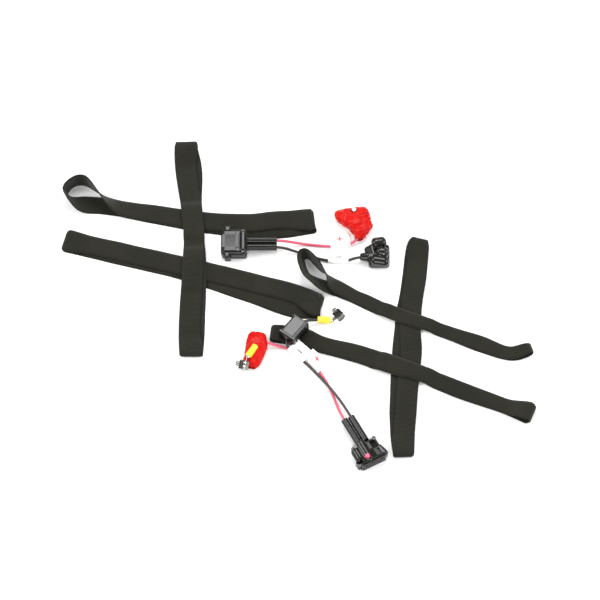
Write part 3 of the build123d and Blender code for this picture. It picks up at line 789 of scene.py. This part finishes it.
moulding(
    "housing_upper_connector_top", "upper_lead_set", "upper_connector_upper_shell", "black_housing",
    home_matrix((-0.0600, 0.0785, 0.0020), (-1, 0), -4.5),
    [
        ("block", (0.0165, 0, 0.0098), (0.0310, 0.0340, 0.0125), (0, 0, 0), 0.0042),
        ("block", (0.0050, 0, 0.0120), (0.0100, 0.0300, 0.0120), (0, 0, 0), 0.0040),
        ("block", (0.0245, 0.0175, 0.0115), (0.0075, 0.0080, 0.0080), (0, 0, 0), 0.0022),
        ("block", (0.0240, -0.0175, 0.0115), (0.0080, 0.0080, 0.0080), (0, 0, 0), 0.0022),
        ("block", (0.0205, 0, 0.0162), (0.0205, 0.0180, 0.0016), (0, 0, 0), 0.0005),
        ("block", (0.0205, 0, 0.0162), (0.0140, 0.0265, 0.0016), (0, 0, 0), 0.0005),
    ],
)
moulding(
    "housing_lower_connector_top", "lower_lead_set", "lower_connector_upper_shell", "black_housing",
    home_matrix((0.0780, -0.1943, 0), (0.475, -0.88)),
    [
        ("block", (0.0160, 0.0020, 0.0088), (0.0300, 0.0280, 0.0110), (-14, 0, 0), 0.0048),
        ("rod", (0.0140, -0.0040, 0.0120), (0.0280, 0.0125, 0.0125), (0, 0, 0), 0.0022),
        ("rod", (0.0140, -0.0135, 0.0100), (0.0180, 0.0115, 0.0115), (0, 0, 0), 0.0036),
        ("block", (0.0215, 0.0130, 0.0090), (0.0170, 0.0120, 0.0090), (0, 0, 14), 0.0036),
        ("block", (0.0280, 0, 0.0100), (0.0060, 0.0330, 0.0100), (0, 0, 0), 0.0032),
        ("rod", (0.0245, -0.0060, 0.0150), (0.0040, 0.0090, 0.0084), (0, -90, 0), 0.0005),
    ],
)


# ---- stitching ----
def stitches(name, body, replaced, patches):
    """Rows of thread over sewn patches; a patch is (middle x, middle y, row length, row spacing, top)."""
    points, faces = [], []
    for x, y, wide, tall, top in patches:
        for row in (-1, 1):
            count = round(wide / STITCH_PITCH)
            for k in range(count):
                cx = x - wide / 2 + (k + 0.5) * wide / count
                cy = y + row * tall / 2
                start = len(points)
                for i in range(7):
                    s = i / 6 - 0.5
                    height = top + STITCH_ARCH * math.cos(s * math.pi) - 0.0001
                    for j in range(6):
                        a = math.pi * j / 3
                        side, rise = STITCH_RADIUS * math.cos(a), STITCH_RADIUS * math.sin(a)
                        points.append((cx + s * STITCH_LENGTH, cy + side, height + rise))
                faces += [tuple(start + corner for corner in face) for face in quad_strip(7, 6)]
                faces.append(tuple(start + j for j in range(5, -1, -1)))
                faces.append(tuple(start + 36 + j for j in range(6)))
    piece = add_mesh(name, points, faces, "thread")
    dress(piece, body, replaced)


stitches(
    "thread_left_stitching", "left_straps", "left_stitching",
    [(-0.128, 0.104, 0.018, 0.005, 0.0064), (-0.1265, 0.035, 0.016, 0.005, 0.0064)],
)
stitches(
    "thread_right_stitching", "right_straps", "right_stitching",
    [(0.133, -0.027, 0.016, 0.005, 0.0064), (0.131, -0.092, 0.016, 0.005, 0.0064)],
)

# ---- finishes on the carried-over solids ----
OWN_PIECES = ("webbing_", "vinyl_", "label_", "wire_", "thread_")
for piece in list(bpy.data.objects):
    if piece.type != "MESH" or piece.hide_render or piece.name.startswith(OWN_PIECES):
        continue
    for key, slot_name in NODE_SLOTS.items():
        if key in piece.name:
            piece.data.materials.clear()
            piece.data.materials.append(MATERIALS[slot_name])

# ---- floor, light and camera ----
floor_material, _, floor_shader = new_material("pale_floor")
floor_shader.inputs["Base Color"].default_value = (0.93, 0.93, 0.93, 1)
floor_shader.inputs["Roughness"].default_value = 0.9
floor_mesh = bpy.data.meshes.new("floor")
floor_mesh.from_pydata([(-4, -4, 0), (4, -4, 0), (4, 4, 0), (-4, 4, 0)], [], [(0, 1, 2, 3)])
floor_mesh.materials.append(floor_material)
add_object("floor", floor_mesh)

world = bpy.data.worlds.new("studio")
world.use_nodes = True
sky = world.node_tree.nodes["Background"]
sky.inputs["Color"].default_value = (1, 1, 1, 1)
sky.inputs["Strength"].default_value = 0.50
bpy.context.scene.world = world


def area_light(name, place, size, power):
    """A square softbox that faces the middle of the floor."""
    lamp = bpy.data.lights.new(name, "AREA")
    lamp.shape = "SQUARE"
    lamp.size = size
    lamp.energy = power
    made = add_object(name, lamp)
    made.location = place
    made.rotation_mode = "QUATERNION"
    made.rotation_quaternion = (-Vector(place)).to_track_quat("-Z", "Y")


area_light("softbox_back", (0.0, 1.15, 2.0), 1.0, 30.0)
area_light("softbox_left", (-2.1, 0.1, 1.7), 1.4, 50.0)
area_light("softbox_right", (2.1, -0.3, 1.6), 1.4, 46.0)
area_light("softbox_front", (-0.4, -2.2, 1.3), 1.2, 28.0)

target = Vector((0.0042, 0.0049, 0.0))
lens = bpy.data.cameras.new("camera")
lens.lens = 250
lens.sensor_width = 36
lens.clip_end = 50
camera = add_object("camera", lens)
back = Vector((0, -math.cos(ELEVATION), math.sin(ELEVATION)))
camera.location = target + back * DISTANCE
camera.rotation_mode = "QUATERNION"
camera.rotation_quaternion = (-back).to_track_quat("-Z", "Y")
bpy.context.scene.camera = camera
bpy.context.scene.view_settings.view_transform = "Standard"
